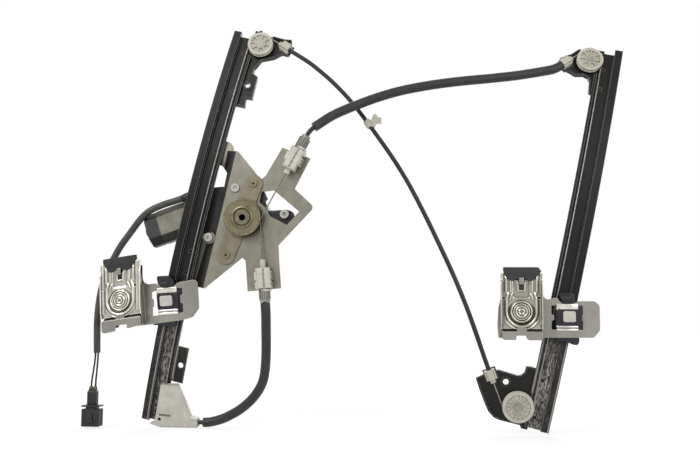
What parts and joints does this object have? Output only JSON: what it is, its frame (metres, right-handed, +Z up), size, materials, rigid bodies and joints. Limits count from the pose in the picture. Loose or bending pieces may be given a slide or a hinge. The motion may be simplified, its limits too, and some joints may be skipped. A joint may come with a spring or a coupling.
{
  "type": "window regulator",
  "caption": "Cable-driven door window regulator: curved guide rails, a sheet motor plate with drum and geared motor, glass carriers, cable casings and a wired lead.",
  "frame": {"origin": "on the axis of the cable drum and its hand winding bore, at the front face of the motor plate", "axes": "+X to the right along the door, +Y from the front of the motor plate back to the motor, +Z up"},
  "size_m": [0.6353, 0.0738, 0.4782],
  "materials": {
    "black_steel": "satin black coating on rolled steel",
    "black_nylon": "moulded black nylon",
    "white_nylon": "natural acetal or nylon",
    "grey_nylon": "grey moulded plastic",
    "zinc_steel": "bright zinc plate",
    "zinc_sheet": "zinc plated sheet, slightly matt",
    "bright_zinc": "bright zinc plated pressing",
    "yellow_zinc": "yellow passivated zinc plate",
    "spring_steel": "bare spring steel",
    "steel_cable": "greased steel wire rope",
    "black_casing": "extruded black cover",
    "black_sleeve": "soft black foam or rubber tube",
    "pad_rubber": "black rubber",
    "damper_rubber": "black rubber",
    "cap_plastic": "dark grey moulded plastic",
    "harness_tube": "flexible plastic tube",
    "wire_cover": "extruded wire cover",
    "ferrite": "sintered ferrite",
    "iron_core": "stacked iron sheets",
    "copper": "copper bars",
    "carbon": "pressed carbon",
    "bronze": "sintered bronze"
  },
  "bodies": {
    "rails": {"adjuster_springs": "spring_steel", "armature_bushes": "bronze", "bracket_rivets": "zinc_steel", "brush_holder": "black_nylon", "brushes": "carbon", "casing_clip": "white_nylon", "casing_ferrules": "white_nylon", "connector_plug": "black_nylon", "cross_casing": "black_casing", "drum_cables": "steel_cable", "drum_strap": "yellow_zinc", "field_magnets": "ferrite", "gear_cover": "black_nylon", "gear_housing": "black_nylon", "harness_sleeve": "harness_tube", "harness_wires": "wire_cover", "housing_screws": "zinc_steel", "left_guide_rail": "black_steel", "left_lower_cable_guide": "white_nylon", "left_rail_cable": "steel_cable", "left_upper_bracket": "black_nylon", "lower_adjuster_body": "white_nylon", "lower_adjuster_tube": "grey_nylon", "lower_casing": "black_casing", "lower_casing_sleeve": "black_sleeve", "motor_can": "zinc_steel", "motor_end_cap": "cap_plastic", "motor_plate": "zinc_sheet", "plate_rivets": "yellow_zinc", "pulley_pins": "zinc_steel", "right_guide_rail": "black_steel", "right_lower_bracket": "black_nylon", "right_rail_cable": "steel_cable", "right_upper_bracket": "black_nylon", "upper_adjuster_body": "white_nylon", "upper_adjuster_tube": "grey_nylon", "upper_casing": "black_casing", "upper_casing_sleeve": "black_sleeve"},
    "drum": {"cable_drum": "yellow_zinc", "output_shaft": "zinc_steel", "worm_wheel": "white_nylon", "wheel_damper": "damper_rubber"},
    "armature": {"armature_shaft": "spring_steel", "armature_core": "iron_core", "commutator": "copper"},
    "left_carrier": {"left_carrier_plate": "bright_zinc", "left_clamp_plate": "bright_zinc", "left_glass_pad": "pad_rubber", "left_clamp_bolt": "bright_zinc", "left_slider": "black_nylon", "left_cable_block": "white_nylon"},
    "right_carrier": {"right_carrier_plate": "bright_zinc", "right_clamp_plate": "bright_zinc", "right_glass_pad": "pad_rubber", "right_clamp_bolt": "bright_zinc", "right_slider": "black_nylon", "right_cable_block": "white_nylon"},
    "left_upper_wheel": {"left_upper_pulley": "white_nylon"},
    "right_upper_wheel": {"right_upper_pulley": "white_nylon"},
    "right_lower_wheel": {"right_lower_pulley": "white_nylon"}
  },
  "joints": [
    {"name": "left_carrier_lift", "type": "hinge", "parent": "rails", "child": "left_carrier", "pos_m": [0, 1.008, 0], "axis": [-0.9748, 0, 0.2233], "range_deg": [-3.2, 15.6]},
    {"name": "right_carrier_lift", "type": "hinge", "parent": "rails", "child": "right_carrier", "pos_m": [0, 1.008, 0], "axis": [-0.9748, 0, 0.2233], "range_deg": [-3.2, 15.6]},
    {"name": "drum_turn", "type": "hinge", "parent": "rails", "child": "drum", "pos_m": [0, 0, 0], "axis": [0, 1, 0], "continuous": true},
    {"name": "armature_turn", "type": "hinge", "parent": "rails", "child": "armature", "pos_m": [-0.00944, 0.029, 0.02742], "axis": [-0.9455, 0, -0.3256], "continuous": true},
    {"name": "left_upper_pulley_turn", "type": "hinge", "parent": "rails", "child": "left_upper_wheel", "pos_m": [0.01008, 0.02733, 0.21602], "axis": [0.0473, -0.9773, 0.2067], "continuous": true},
    {"name": "right_upper_pulley_turn", "type": "hinge", "parent": "rails", "child": "right_upper_wheel", "pos_m": [0.40124, 0.04223, 0.18776], "axis": [0.0606, -0.9624, 0.2648], "continuous": true},
    {"name": "right_lower_pulley_turn", "type": "hinge", "parent": "rails", "child": "right_lower_wheel", "pos_m": [0.30761, 0.01398, -0.21166], "axis": [-0.0306, -0.9905, -0.1337], "continuous": true}
  ],
  "couplings": [
    {"joint": "right_carrier_lift", "follows": "left_carrier_lift", "ratio": 1},
    {"joint": "drum_turn", "follows": "left_carrier_lift", "ratio": 52.816},
    {"joint": "armature_turn", "follows": "left_carrier_lift", "ratio": -3855.6},
    {"joint": "left_upper_pulley_turn", "follows": "left_carrier_lift", "ratio": -72.717},
    {"joint": "right_upper_pulley_turn", "follows": "left_carrier_lift", "ratio": 72.717},
    {"joint": "right_lower_pulley_turn", "follows": "left_carrier_lift", "ratio": 63.113}
  ]
}
